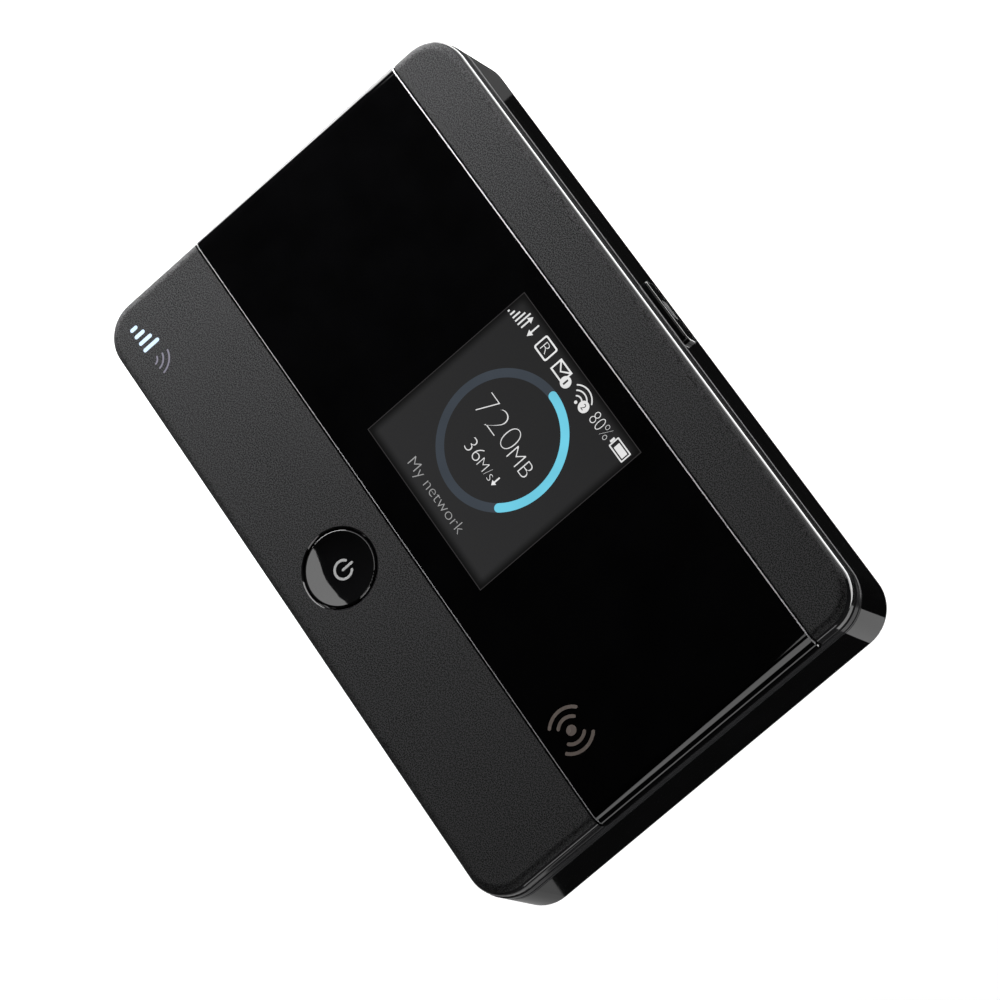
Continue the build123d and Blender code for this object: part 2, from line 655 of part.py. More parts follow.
def battery_terminals():
    x = (BATTERY_X[0] + 0.05, BATTERY_X[0] + 0.2)
    return group([block(x, (y - 1.0, y + 1.0), (3.9, 6.1)) for y in (-4.2, -1.4, 1.4, 4.2)])


def battery_label():
    middle = sum(BATTERY_X) / 2
    return rounded(centred(middle, 0, 26, 19, (BATTERY_Z[0] - 0.1, BATTERY_Z[0])), Axis.Z, 1.5)


NODES = [
    front_shell, display_lens, lens_adhesive, trim_ring, lower_housing, rear_cover, chassis, housing_screws,
    power_button_cap, power_switch_base, power_switch_plunger,
    menu_key, menu_switch_base, menu_switch_plunger, reset_switch_base, reset_switch_plunger,
    display_gasket, display_bezel, display_glass, display_backlight, display_flex, display_connector,
    main_board, baseband_shield, rf_shield, power_shield, wifi_shield, baseband_chip, memory_chip,
    rf_transceiver_chip, rf_amplifiers, power_management_chip, wifi_chip, thermal_pad, crystals,
    inductors, capacitors, usb_receptacle, battery_contact_block, battery_contact_springs,
    sim_socket, memory_card_socket, sim_card, sim_card_contacts, memory_card, memory_card_contacts,
    antenna_carriers, lte_main_antenna, lte_diversity_antenna, wifi_antenna, antenna_contacts,
    battery_pack, battery_terminals, battery_label,
]

os.makedirs("parts", exist_ok=True)
for node in NODES:
    export_step(node(), f"parts/{node.__name__}.step")
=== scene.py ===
import json
import math

import bmesh
import bpy
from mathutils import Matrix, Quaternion, Vector

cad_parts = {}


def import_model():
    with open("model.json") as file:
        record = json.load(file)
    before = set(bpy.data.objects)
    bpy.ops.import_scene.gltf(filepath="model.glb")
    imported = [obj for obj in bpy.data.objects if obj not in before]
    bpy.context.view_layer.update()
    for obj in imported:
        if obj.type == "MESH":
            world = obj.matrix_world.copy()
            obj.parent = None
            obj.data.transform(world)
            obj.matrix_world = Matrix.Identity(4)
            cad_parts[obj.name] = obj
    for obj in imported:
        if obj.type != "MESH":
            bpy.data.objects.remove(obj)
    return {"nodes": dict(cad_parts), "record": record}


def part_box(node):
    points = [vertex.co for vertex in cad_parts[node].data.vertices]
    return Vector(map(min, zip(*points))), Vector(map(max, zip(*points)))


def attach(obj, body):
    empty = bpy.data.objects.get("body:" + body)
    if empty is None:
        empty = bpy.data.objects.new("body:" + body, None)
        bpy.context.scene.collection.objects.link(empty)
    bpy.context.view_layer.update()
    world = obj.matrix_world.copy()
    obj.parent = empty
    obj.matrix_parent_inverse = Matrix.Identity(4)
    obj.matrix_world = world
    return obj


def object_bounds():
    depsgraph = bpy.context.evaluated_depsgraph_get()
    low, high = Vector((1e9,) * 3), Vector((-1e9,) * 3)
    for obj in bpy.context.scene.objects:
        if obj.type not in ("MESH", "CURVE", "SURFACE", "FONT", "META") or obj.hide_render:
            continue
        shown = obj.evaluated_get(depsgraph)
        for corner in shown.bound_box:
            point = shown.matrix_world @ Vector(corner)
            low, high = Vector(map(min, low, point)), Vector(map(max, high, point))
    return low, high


# A pocket mobile hotspot lying on its back, in metres, in the frame of the CAD model:
# +X along the long side, +Y across the face towards the menu key, +Z out of the face.
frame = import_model()
cad_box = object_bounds()
MM = 0.001

# ---- Camera and framing --------------------------------------------------------------------
AIM = Vector((4.9, -1.1, 8.0)) * MM       # point of the object in the middle of the picture
CAMERA_DISTANCE = 592.1 * MM
CAMERA_HEADING = 29.83                    # degrees round from +X towards +Y
CAMERA_HEIGHT = 63.59                     # degrees above the horizon
CAMERA_ROLL = -67.97
CAMERA_LENS = 154.6                       # millimetres,
CAMERA_SENSOR = 36                        # on a sensor this wide

# ---- Places on the face, in millimetres ------------------------------------------------------
FACE_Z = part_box("front_shell")[1].z / MM
LENS_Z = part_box("display_lens")[1].z / MM
WINDOW = (2.0, 6.0)                       # centre of the display window
WINDOW_SIZE = 29.3
POWER_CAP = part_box("power_button_cap")
MENU_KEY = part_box("menu_key")
DISH_DEPTH = 0.42                         # of the power button's dished top
DISH_FLAT = 1.2                           # the dish is flat this far from its centre,
DISH_REACH = 5.2                          # and curves up to here


def middle(box):
    """Centre of a box given by its two corners, in millimetres."""
    return (box[0] + box[1]) / 2 / MM


# ---- Node graphs -------------------------------------------------------------------------------
EDGE_RADIUS = 0.12                        # reach of the wear along sharp edges, in millimetres
EDGE_SHARP = 0.86                         # cosines of the turn between the true and the rounded
EDGE_FLAT = 0.99                          # surface, at an edge and on a flat
NOISE_LOW = 0.3                           # nearly all of a noise's values lie between these
NOISE_HIGH = 0.7


class Graph:
    """A material and the nodes that make its surface."""

    def __init__(self, name):
        self.material = bpy.data.materials.new(name)
        self.material.use_nodes = True
        self.tree = self.material.node_tree
        self.shader = self.tree.nodes["Principled BSDF"]
        coordinates = self.node("ShaderNodeTexCoord")
        self.place = coordinates.outputs["Object"]
        self.facing = coordinates.outputs["Normal"]

    def node(self, kind, inputs=None, **settings):
        made = self.tree.nodes.new(kind)
        for name, value in settings.items():
            setattr(made, name, value)
        for key, value in (inputs or {}).items():
            self.feed(made.inputs[key], value)
        return made

    def feed(self, socket, value):
        if isinstance(value, bpy.types.NodeSocket):
            self.tree.links.new(value, socket)
        else:
            socket.default_value = value

    def set(self, **values):
        """Feeds the shader's sockets: underscores stand for the spaces in their names."""
        for name, value in values.items():
            self.feed(self.shader.inputs[name.replace("_", " ")], value)

    def noise(self, size, detail=2.0, stretch=(1, 1, 1)):
        """Noise with features of the given size in millimetres."""
        place = self.node("ShaderNodeVectorMath", {0: self.place, 1: stretch}, operation="MULTIPLY")
        inputs = {"Vector": place.outputs[0], "Scale": 1 / (size * MM), "Detail": detail}
        return self.node("ShaderNodeTexNoise", inputs).outputs["Fac"]

    def span(self, value, low, high, to_low, to_high, smooth=False):
        """A value carried from one range to another and held inside it."""
        inputs = {"Value": value, "From Min": low, "From Max": high, "To Min": to_low, "To Max": to_high}
        kind = "SMOOTHSTEP" if smooth else "LINEAR"
        return self.node("ShaderNodeMapRange", inputs, interpolation_type=kind).outputs["Result"]

    def vary(self, noise, low, high):
        """A value that follows a noise over the given range."""
        return self.span(noise, NOISE_LOW, NOISE_HIGH, low, high)

    def math(self, operation, a, b=0.5):
        """A function of one or two values."""
        return self.node("ShaderNodeMath", {0: a, 1: b}, operation=operation).outputs[0]

    def mix(self, factor, a, b):
        """Two colours mixed by a factor."""
        made = self.node("ShaderNodeMix", data_type="RGBA")
        for index, value in ((0, factor), (6, a), (7, b)):
            self.feed(made.inputs[index], value)
        return made.outputs[2]

    def two_tone(self, noise, colour, contrast):
        """A colour that a noise makes darker and lighter by a share."""
        return self.mix(self.vary(noise, 0, 1), shade(colour, 1 - contrast), shade(colour, 1 + contrast))

    def axis(self, vector, name):
        """One component of a vector."""
        return self.node("ShaderNodeSeparateXYZ", {0: vector}).outputs[name]

    def bump(self, height, depth, under=None):
        """A bump of the given depth in millimetres, on top of another one."""
        inputs = {"Height": height, "Distance": depth * MM, "Strength": 1.0}
        if under is not None:
            inputs["Normal"] = under
        return self.node("ShaderNodeBump", inputs).outputs["Normal"]

    def edges(self):
        """1 along the edges of the piece and 0 on its flats."""
        soft = self.node("ShaderNodeBevel", {"Radius": EDGE_RADIUS * MM}, samples=4).outputs[0]
        flat = self.node("ShaderNodeNewGeometry").outputs["Normal"]
        turn = self.node("ShaderNodeVectorMath", {0: soft, 1: flat}, operation="DOT_PRODUCT")
        return self.span(turn.outputs["Value"], EDGE_SHARP, EDGE_FLAT, 1.0, 0.0)


def shade(colour, factor):
    """A colour made darker or lighter, with the alpha that a shader's socket takes."""
    return (*[min(1.0, c * factor) for c in colour[:3]], 1.0)


def surface(name, colour, roughness, grain=0.2, depth=0.004, patch=4.0, contrast=0.15, wear=0.25,
            stretch=(1, 1, 1), metallic=0.0, spread=0.06):
    """A moulded, rolled or plated surface. Grain is the fine texture's size in millimetres and
    depth its height; patch is the size of slow changes of tone, contrast their share; wear
    lightens the edges; spread is how far the roughness strays."""
    g = Graph(name)
    fine = g.noise(grain, 3.0, stretch)
    slow = g.noise(patch, 2.0)
    speck = g.mix(g.span(fine, 0.35, 0.65, 0, 1), shade(colour, 1 - contrast), shade(colour, 1 + contrast))
    tone = g.mix(0.5, g.two_tone(slow, colour, contrast), speck)
    if wear:
        scuffs = g.span(g.noise(1.5), 0.4, 0.7, 0.1, wear)
        worn = shade([c + 0.02 for c in colour], 2.2)
        tone = g.mix(g.math("MULTIPLY", g.edges(), scuffs), tone, worn)
    g.set(Base_Color=tone, Metallic=metallic)
    g.set(Roughness=g.span(slow, 0.25, 0.75, roughness - spread, roughness + spread))
    g.set(Normal=g.bump(fine, depth))
    return g.material


# ---- Materials of the outside --------------------------------------------------------------------
POLISHED_MOUTH = 5.92                     # radius of the polished mouth round the power button,
MOUTH_FADE = 0.06                         # and the width over which it gives way to the grain
ROLL_POLISHED = 0.60                      # upward lean of the shell's surface where the polish
ROLL_GRAINED = 0.74                       # ends, and where the grain is whole
SHELL_GRAIN = 0.16
SHELL_GRAIN_DEPTH = 0.012
BEAD_LOW = 0.35                           # the trim's bead starts to fall off this far above its
BEAD_HIGH = 0.8                           # lower edge, and ends here
BEAD_DEPTH = 0.13
HIGHLIGHT_ROUGHNESS = 0.25                      # added on the lens's bevels, where the highlight is painted
RULE_PITCH = 3.8                          # of the lines on the battery's label


def shell_matte():
    """Charcoal plastic with a fine eroded grain. The lower part of the shell's rolled edge is
    polished, and so is the mouth of the power button's hole."""
    g = Graph("shell_matte")
    button = middle(POWER_CAP) * MM
    off = g.node("ShaderNodeVectorMath", {0: g.place, 1: (button.x, button.y, 0)}, operation="SUBTRACT")
    flat_off = g.node("ShaderNodeVectorMath", {0: off.outputs[0], 1: (1, 1, 0)}, operation="MULTIPLY")
    away = g.node("ShaderNodeVectorMath", {0: flat_off.outputs[0]}, operation="LENGTH").outputs["Value"]
    mouth = g.span(away, POLISHED_MOUTH * MM, (POLISHED_MOUTH + MOUTH_FADE) * MM, 0, 1)
    upward = g.span(g.axis(g.facing, "Z"), ROLL_POLISHED, ROLL_GRAINED, 0, 1, smooth=True)
    eroded = g.math("MULTIPLY", upward, mouth)
    grain = g.noise(SHELL_GRAIN, 2.0)
    slow = g.noise(9.0, 2.0)
    pit = (0.002, 0.002, 0.002, 1)
    peak = (0.046, 0.046, 0.047, 1)
    average = (0.025, 0.025, 0.026, 1)
    polished = (0.010, 0.010, 0.0105, 1)
    speckled = g.mix(g.span(grain, 0.41, 0.59, 0, 1), pit, peak)
    speckled = g.mix(g.vary(slow, 0.0, 0.25), speckled, average)
    matte = g.span(g.math("ADD", slow, grain), 0.7, 1.3, 0.46, 0.56)
    rough = g.node("ShaderNodeMix", {0: eroded, 2: 0.08, 3: matte}, data_type="FLOAT").outputs[0]
    height = g.math("MULTIPLY", grain, eroded)
    g.set(Base_Color=g.mix(eroded, polished, speckled), Roughness=rough)
    g.set(Normal=g.bump(height, SHELL_GRAIN_DEPTH), Specular_IOR_Level=0.09, IOR=1.5)
    g.set(Coat_Weight=g.math("SUBTRACT", 1.0, eroded), Coat_Roughness=0.05)
    return g.material


def gloss(name, colour, roughness, haze, specular=0.5, painted_highlight=None):
    """Polished black plastic with slow changes of tone and a faint haze of wiping marks. Where a colour is
    given for it, the bevel along the piece's long edges gets that pale colour as a painted highlight, and is
    less glossy."""
    g = Graph(name)
    slow = g.noise(7.0, 2.0)
    wiped = g.noise(1.2, 4.0, (1, 3, 1))
    tone = g.two_tone(slow, colour, 0.25)
    rough = g.span(wiped, 0.35, 0.65, roughness, roughness + haze)
    # The pale colour laid on the bevel is a painted highlight, standing in for the glint along the edge.
    if painted_highlight:
        aside = g.span(g.math("ABSOLUTE", g.axis(g.facing, "Y")), 0.55, 0.65, 0, 1)
        bevel = g.math("MULTIPLY", aside, g.span(g.axis(g.facing, "Z"), 0.3, 0.4, 0, 1))
        tone = g.mix(bevel, tone, (*painted_highlight, 1))
        rough = g.math("ADD", rough, g.math("MULTIPLY", bevel, HIGHLIGHT_ROUGHNESS))
    g.set(Base_Color=tone, Roughness=rough, Specular_IOR_Level=specular, IOR=1.5)
    g.set(Normal=g.bump(slow, 0.0008))
    return g.material


def trim_satin():
    """Satin black strip whose lower part swells out as a rounded bead."""
    g = Graph("trim_satin")
    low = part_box("trim_ring")[0]
    bead = g.span(g.axis(g.place, "Z"), low.z + BEAD_LOW * MM, low.z + BEAD_HIGH * MM, 1, 0)
    fine = g.noise(0.15, 3.0)
    tone = g.mix(g.span(fine, 0.35, 0.65, 0, 1), (0.012, 0.012, 0.0125, 1), (0.020, 0.020, 0.021, 1))
    g.set(Base_Color=tone, Roughness=g.vary(g.noise(4.0), 0.09, 0.12), IOR=1.5)
    g.set(Specular_IOR_Level=0.12, Normal=g.bump(fine, 0.0015, under=g.bump(bead, BEAD_DEPTH)))
    return g.material


def board_laminate():
    """Green solder mask, raised and paler over the copper tracks."""
    g = Graph("board_laminate")
    tracks = g.node("ShaderNodeTexVoronoi", {"Vector": g.place, "Scale": 1 / (1.6 * MM)},
                    distance="CHEBYCHEV", feature="F1").outputs["Distance"]
    lines = g.math("PINGPONG", g.math("MULTIPLY", tracks, 6.0), 0.5)
    copper = g.span(lines, 0.2, 0.3, 0, 1)
    tone = g.mix(copper, (0.006, 0.045, 0.022, 1), (0.014, 0.11, 0.05, 1))
    g.set(Base_Color=tone, Roughness=g.vary(g.noise(4.0), 0.25, 0.4))
    g.set(Normal=g.bump(copper, 0.03), Coat_Weight=0.3)
    return g.material


def label_film():
    """Printed film with faint ruled lines."""
    g = Graph("label_film")
    rows = g.math("PINGPONG", g.math("DIVIDE", g.axis(g.place, "Y"), RULE_PITCH * MM), 0.5)
    ruled = g.mix(g.span(rows, 0.012, 0.02, 0, 1), (0.28, 0.28, 0.30, 1), (0.44, 0.45, 0.47, 1))
    fibres = g.noise(0.3, 3.0, (1, 4, 1))
    g.set(Base_Color=g.mix(g.vary(fibres, 0, 0.2), ruled, (0.6, 0.6, 0.61, 1)))
    g.set(Roughness=g.vary(g.noise(5.0), 0.35, 0.5), Normal=g.bump(fibres, 0.004))
    return g.material


def brushed(name, colour, roughness, stretch=(1, 12, 1)):
    """Pressed or plated sheet metal with fine drawn lines."""
    return surface(name, colour, roughness, grain=0.5, depth=0.003, patch=6.0, contrast=0.08, wear=0.4,
                   stretch=stretch, metallic=1.0, spread=0.07)


MATERIALS = {
    "shell_matte": shell_matte(),
    # The lens's pale bevel colour is a painted highlight.
    "lens_gloss": gloss("lens_gloss", (0.0008, 0.0008, 0.0009), 0.02, 0.01, painted_highlight=(0.42, 0.42, 0.43)),
    "adhesive": surface("adhesive", (0.012, 0.012, 0.012), 0.7, grain=0.4),
    "trim_satin": trim_satin(),
    "housing_gloss": gloss("housing_gloss", (0.0010, 0.0010, 0.0011), 0.02, 0.02),
    "cover_matte": surface("cover_matte", (0.022, 0.022, 0.023), 0.52, grain=0.28, depth=0.012,
                           patch=9.0, contrast=0.10, wear=0.2),
    "chassis_plastic": surface("chassis_plastic", (0.018, 0.018, 0.019), 0.42, grain=0.4, depth=0.006),
    "screw_steel": brushed("screw_steel", (0.48, 0.48, 0.49), 0.3),
    "button_gloss": gloss("button_gloss", (0.0022, 0.0022, 0.0024), 0.03, 0.02, specular=1.0),
    "switch_body": surface("switch_body", (0.025, 0.025, 0.027), 0.45),
    "switch_plunger": surface("switch_plunger", (0.36, 0.34, 0.30), 0.4),
    "foam": surface("foam", (0.02, 0.02, 0.021), 0.9, grain=0.35, depth=0.05, contrast=0.4, wear=0.0),
    "sheet_steel": brushed("sheet_steel", (0.55, 0.55, 0.56), 0.32, (12, 1, 1)),
    "display_glass": surface("display_glass", (0.03, 0.03, 0.036), 0.06, grain=2.0, depth=0.001,
                             contrast=0.1, wear=0.1, spread=0.02),
    "backlight_film": surface("backlight_film", (0.74, 0.77, 0.80), 0.35, grain=0.2, wear=0.0),
    "flex_film": surface("flex_film", (0.42, 0.19, 0.035), 0.28, grain=0.8, depth=0.006,
                         stretch=(10, 1, 1), contrast=0.3),
    "connector_plastic": surface("connector_plastic", (0.68, 0.63, 0.52), 0.4),
    "board_laminate": board_laminate(),
    "shield_metal": brushed("shield_metal", (0.60, 0.60, 0.58), 0.28),
    "chip_package": surface("chip_package", (0.018, 0.018, 0.019), 0.5, grain=0.15, depth=0.006),
    "thermal_rubber": surface("thermal_rubber", (0.28, 0.34, 0.42), 0.75, grain=0.5, depth=0.02, wear=0.0),
    "crystal_metal": brushed("crystal_metal", (0.62, 0.60, 0.55), 0.25),
    "inductor_ferrite": surface("inductor_ferrite", (0.06, 0.055, 0.05), 0.6, grain=0.12, depth=0.01),
    "capacitor_ceramic": surface("capacitor_ceramic", (0.40, 0.27, 0.15), 0.45, grain=0.1),
    "connector_steel": brushed("connector_steel", (0.58, 0.58, 0.57), 0.22),
    "gilt": surface("gilt", (0.83, 0.58, 0.22), 0.25, grain=0.3, depth=0.003, metallic=1.0, spread=0.08),
    "sim_plastic": surface("sim_plastic", (0.72, 0.72, 0.70), 0.4, grain=0.3, contrast=0.05, wear=0.1),
    "memory_plastic": surface("memory_plastic", (0.02, 0.02, 0.022), 0.35),
    "carrier_plastic": surface("carrier_plastic", (0.05, 0.05, 0.05), 0.5),
    "antenna_copper": surface("antenna_copper", (0.72, 0.40, 0.22), 0.3, grain=0.4, metallic=1.0,
                              stretch=(1, 8, 1)),
    "battery_case": surface("battery_case", (0.055, 0.055, 0.06), 0.45, grain=0.3, depth=0.005),
    "label_film": label_film(),
}


def dress_cad_nodes():
    """Every CAD node takes the material of its slot."""
    for part in frame["record"]["subparts"]:
        node = frame["nodes"][part["node"]]
        for slot in node.material_slots:
            slot.material = MATERIALS[part["material_slot"]]


dress_cad_nodes()


# ---- Materials of the display and the printed marks -------------------------------------------------
UNLIT = (0.002, 0.002, 0.002, 1)
UNEVENNESS = 0.06                         # of the backlight


def lit(name, colour):
    """A lit part of the display under glossy glass."""
    g = Graph(name)
    glow = g.two_tone(g.noise(6.0), colour, UNEVENNESS)
    g.set(Base_Color=UNLIT, Emission_Color=glow, Emission_Strength=1.0)
    g.set(Roughness=g.vary(g.noise(3.0, 4.0), 0.02, 0.04), IOR=1.5)
    return g.material


def screen_background():
    """Dark grey, brightest low in the window and falling off softly at its edges."""
    g = Graph("screen_background")
    half = WINDOW_SIZE / 2 * MM
    soft = 1.6 * MM
    top_level = 0.72
    across = g.math("ABSOLUTE", g.math("SUBTRACT", g.axis(g.place, "X"), WINDOW[0] * MM))
    along = g.math("ABSOLUTE", g.math("SUBTRACT", g.axis(g.place, "Y"), WINDOW[1] * MM))
    side = g.span(across, half - soft, half, 1, 0, smooth=True)
    end = g.span(along, half - soft, half, 1, 0, smooth=True)
    rise = g.span(g.axis(g.place, "Y"), WINDOW[1] * MM - half, WINDOW[1] * MM + half, 1.0, top_level)
    level = g.math("MULTIPLY", g.math("MULTIPLY", side, end), rise)
    level = g.math("MULTIPLY", level, g.vary(g.noise(0.12, 1.0), 0.94, 1.06))
    glow = g.mix(level, (0.004, 0.004, 0.004, 1), (0.0255, 0.0255, 0.0262, 1))
    g.set(Base_Color=UNLIT, Emission_Color=glow, Emission_Strength=1.0)
    g.set(Roughness=g.vary(g.noise(3.0, 4.0), 0.02, 0.03), IOR=1.5)
    return g.material


def ink(name, colour, roughness=0.35):
    """Printed ink, a little uneven in cover."""
    return surface(name, colour, roughness, grain=0.12, depth=0.002, patch=1.5, contrast=0.06, wear=0.0)


WHITE_LIT = lit("display_white", (0.80, 0.80, 0.80))
SOFT_LIT = lit("display_grey", (0.36, 0.36, 0.36))
TRACK_LIT = lit("display_track", (0.047, 0.057, 0.071))
CYAN_LIT = lit("display_cyan", (0.16, 0.60, 0.77))
BORDER_LIT = lit("display_border", (0.030, 0.028, 0.029))


# ---- Flat pieces, in millimetres ---------------------------------------------------------------------
WELD = 0.0005                             # vertices closer than this are joined


def arc(centre, radius, start, end, steps=48):
    """Points along an arc, angles in degrees."""
    turns = [math.radians(start + (end - start) * i / steps) for i in range(steps + 1)]
    return [(centre[0] + radius * math.cos(a), centre[1] + radius * math.sin(a)) for a in turns]


def stroke(points, width, closed=False):
    """Outlines of a line of the given width, with round ends."""
    half = width / 2
    count = len(points)
    left, right = [], []
    for i in range(count):
        before = points[i - 1] if (i or closed) else points[i]
        after = points[(i + 1) % count] if (i < count - 1 or closed) else points[i]
        along = Vector((after[0] - before[0], after[1] - before[1])).normalized()
        left.append((points[i][0] - along.y * half, points[i][1] + along.x * half))
        right.append((points[i][0] + along.y * half, points[i][1] - along.x * half))
    if closed:
        return [left, right]
    last = Vector(points[-1]) - Vector(points[-2])
    first = Vector(points[0]) - Vector(points[1])
    heading_last = math.degrees(math.atan2(last.y, last.x))
    heading_first = math.degrees(math.atan2(first.y, first.x))
    end_cap = arc(points[-1], half, heading_last + 90, heading_last - 90, 10)[1:-1]
    start_cap = arc(points[0], half, heading_first + 90, heading_first - 90, 10)[1:-1]
    return [left + end_cap + right[::-1] + start_cap]


def rectangle(x, y, radius=0.0):
    """A closed outline, with rounded corners if a radius is given."""
    if not radius:
        return [(x[0], y[0]), (x[1], y[0]), (x[1], y[1]), (x[0], y[1])]
    corners = ((x[1], y[1], 0), (x[0], y[1], 90), (x[0], y[0], 180), (x[1], y[0], 270))
    points = []
    for cx, cy, turn in corners:
        inner = (cx - radius if cx == x[1] else cx + radius, cy - radius if cy == y[1] else cy + radius)
        points += arc(inner, radius, turn, turn + 90, 8)
    return points


def disc(centre, radius):
    return arc(centre, radius, 0, 360, 40)[:-1]


def clean_piece(name, mesh):
    """An object with the given mesh, its doubled vertices joined and its faces turned outward."""
    made = bmesh.new()
    made.from_mesh(mesh)
    bmesh.ops.remove_doubles(made, verts=made.verts, dist=WELD)
    bmesh.ops.recalc_face_normals(made, faces=made.faces)
    made.to_mesh(mesh)
    made.free()
    piece = bpy.data.objects.new(name, mesh)
    bpy.context.scene.collection.objects.link(piece)
    return piece


def flat_shape(name, outlines, thickness):
    """A thin solid from closed outlines; an outline inside another cuts a hole."""
    data = bpy.data.curves.new(name, "CURVE")
    data.dimensions = "2D"
    data.fill_mode = "BOTH"
    data.extrude = thickness / 2
    for points in outlines:
        spline = data.splines.new("POLY")
        spline.points.add(len(points) - 1)
        for target, point in zip(spline.points, points):
            target.co = (point[0], point[1], 0, 1)
        spline.use_cyclic_u = True
    curve = bpy.data.objects.new(name, data)
    bpy.context.scene.collection.objects.link(curve)
    mesh = bpy.data.meshes.new_from_object(curve)
    bpy.data.objects.remove(curve)
    return clean_piece(name, mesh)


def flat_text(name, text, x, y, thickness, weight):
    """Thin solid lettering that fills the given ranges of x and y."""
    data = bpy.data.curves.new(name, "FONT")
    data.body = text
    data.offset = weight
    data.resolution_u = 6
    curve = bpy.data.objects.new(name, data)
    bpy.context.scene.collection.objects.link(curve)
    bpy.context.view_layer.update()
    flat = bpy.data.meshes.new_from_object(curve)
    low = [min(v.co[k] for v in flat.vertices) for k in (0, 1)]
    high = [max(v.co[k] for v in flat.vertices) for k in (0, 1)]
    bpy.data.meshes.remove(flat)
    scale = ((x[1] - x[0]) / (high[0] - low[0]), (y[1] - y[0]) / (high[1] - low[1]))
    data.extrude = 0.5
    mesh = bpy.data.meshes.new_from_object(curve)
    bpy.data.objects.remove(curve)
    for vertex in mesh.vertices:
        vertex.co.x = x[0] + (vertex.co.x - low[0]) * scale[0]
        vertex.co.y = y[0] + (vertex.co.y - low[1]) * scale[1]
        vertex.co.z *= thickness
    return clean_piece(name, mesh)


def settle(piece, place, material, body):
    """Carries a flat piece's vertices to their place, and rides the piece on its body."""
    for vertex in piece.data.vertices:
        vertex.co = Vector(place(*vertex.co)) * MM
    piece.data.materials.clear()
    piece.data.materials.append(material)
    piece.data.update()
    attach(piece, body)


# ---- Display: millimetres, from the window's centre ----------------------------------------------------
SCREEN_T = 0.016                          # thickness of the lit panel,
GLYPH_T = 0.012                           # and of each layer of glyphs on it
STATUS_LOW = 11.2                         # the status row stands between these heights
STATUS_HIGH = 13.7
BADGE_Y = 11.9


def on_screen(piece, lift, material):
    """Lays a shape drawn round the window's centre at a height above the lens."""
    def place(x, y, z):
        return WINDOW[0] + x, WINDOW[1] + y, LENS_Z + lift + z

    settle(piece, place, material, "case")


def on_layer(piece, layer, material):
    """Lays a glyph on the lit panel, over the glyphs of the layers below."""
    on_screen(piece, SCREEN_T + GLYPH_T * (layer + 0.5), material)


def glyph(name, outlines, material=WHITE_LIT, layer=0):
    on_layer(flat_shape(name, outlines, GLYPH_T), layer, material)


def words(name, text, x, y, material=WHITE_LIT, weight=-0.026, layer=0):
    """Lettering that fills the given ranges of x and y; a negative weight makes it thinner."""
    on_layer(flat_text(name, text, x, y, GLYPH_T, weight), layer, material)


def display_panel():
    half = WINDOW_SIZE / 2
    line = 0.12
    window = rectangle((-half, half), (-half, half))
    inside = rectangle((-half + line, half - line), (-half + line, half - line))
    panel = flat_shape("screen_panel", [window], SCREEN_T)
    on_screen(panel, SCREEN_T / 2, screen_background())
    glyph("screen_border", [window, inside], BORDER_LIT)


def gauge():
    """A ring, and over it the filled part, which starts at the top and runs clockwise."""
    centre = (-0.1, 0.0)
    radius = 9.35
    width = 1.3
    top, filled_to = 90, -39                  # degrees
    ring = arc(centre, radius, 0, 360, 120)[:-1]
    glyph("gauge_track", stroke(ring, width, closed=True), TRACK_LIT)
    glyph("gauge_arc", stroke(arc(centre, radius, top, filled_to, 90), width), CYAN_LIT, layer=1)


def readings():
    words("reading_value", "720", (-6.5, 1.7), (-0.8, 2.8), weight=-0.036)
    words("reading_unit", "MB", (2.1, 6.3), (-0.8, 1.4))
    words("rate_value", "36", (-3.2, -0.2), (-4.9, -2.8))
    words("rate_unit", "M/s", (0.1, 3.2), (-4.9, -3.4))
    arrow_x = 3.9
    head_half = 0.45
    head = [(arrow_x - head_half, -4.3), (arrow_x + head_half, -4.3), (arrow_x, -4.9)]
    glyph("rate_arrow", stroke([(arrow_x, -3.4), (arrow_x, -4.6)], 0.22))
    glyph("rate_arrow_head", [head])
    words("network_label", "My network", (-6.8, 6.2), (-13.3, -11.2), SOFT_LIT, weight=-0.02)


def status_row():
    signal_bars()
    data_arrow("data_up", -10.9, 1)
    data_arrow("data_down", -9.4, -1)
    roaming_box()
    envelope()
    wireless()
    words("charge_level", "80%", (5.9, 9.8), (STATUS_LOW + 0.2, STATUS_LOW + 2.1))
    battery_icon()


def signal_bars():
    first_x = -14.2
    width = 0.25
    pitch = 0.62
    shortest, step = 0.3, 0.52
    bars = []
    for i in range(5):
        x = first_x + pitch * i
        bars.append(rectangle((x, x + width), (STATUS_LOW, STATUS_LOW + shortest + step * i)))
    glyph("signal_bars", bars)


def data_arrow(name, x, up):
    """An arrow that points up, or down where up is -1."""
    middle_y = (STATUS_LOW + STATUS_HIGH) / 2
    tail, neck, base, tip = (middle_y + reach * up for reach in (-1.0, 0.5, 0.35, 1.15))
    head_half = 0.5
    head = [(x - head_half, base), (x + head_half, base), (x, tip)]
    glyph(name, stroke([(x, tail), (x, neck)], 0.24))
    glyph(name + "_head", [head if up > 0 else head[::-1]])


def roaming_box():
    left, right = -7.6, -4.7
    line = 0.25
    outer = rectangle((left, right), (STATUS_LOW, STATUS_HIGH), 0.35)
    inner = rectangle((left + line, right - line), (STATUS_LOW + line, STATUS_HIGH - line), 0.2)
    glyph("roaming_box", [outer, inner])
    words("roaming_mark", "R", (-6.75, -5.55), (STATUS_LOW + 0.55, STATUS_HIGH - 0.55))


def envelope():
    left, right = -3.5, -0.7
    low, high = 11.3, 13.4
    line = 0.25
    inset = 0.2                               # of the flap's ends from the envelope's corners
    inner = rectangle((left + line, right - line), (low + line, high - line))
    glyph("message_icon", [rectangle((left, right), (low, high)), inner])
    fold = ((left + right) / 2, low + 0.9)
    flap = [(left + inset, high - inset), fold, (right - inset, high - inset)]
    glyph("message_flap", stroke(flap, line), layer=1)
    badge("message", -0.4, "1", 0.14)


